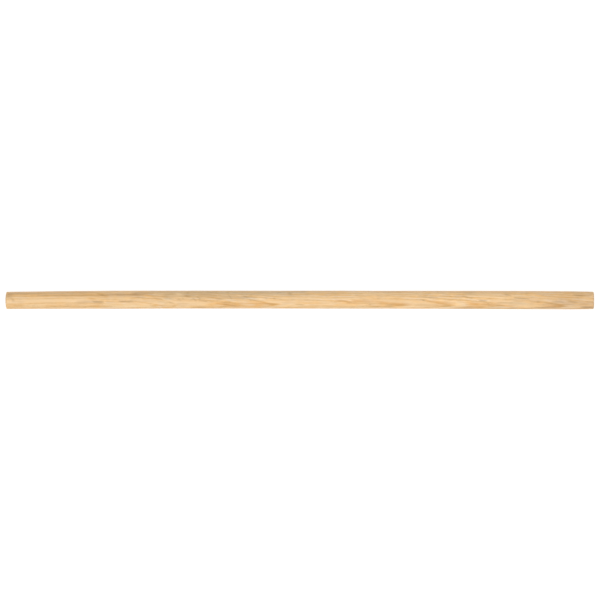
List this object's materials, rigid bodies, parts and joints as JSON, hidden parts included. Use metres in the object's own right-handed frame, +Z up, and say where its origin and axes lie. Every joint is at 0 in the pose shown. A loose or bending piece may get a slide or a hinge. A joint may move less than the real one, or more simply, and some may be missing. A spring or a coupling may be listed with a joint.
{
  "type": "paint roller extension pole",
  "caption": "Plain turned hardwood pole with a domed butt end and a slightly tapered end that pushes into the handle of a paint roller.",
  "frame": {"origin": "on the surface the pole lies on, under the middle of its length", "axes": "+X along the pole, towards the roller end; -X towards the butt end; +Z up"},
  "size_m": [0.9, 0.0274, 0.0274],
  "materials": {
    "bare_wood": "bare sanded hardwood, matte, pale honey with fine long grain"
  },
  "bodies": {
    "root": {"wooden_pole": "bare_wood"}
  },
  "joints": []
}
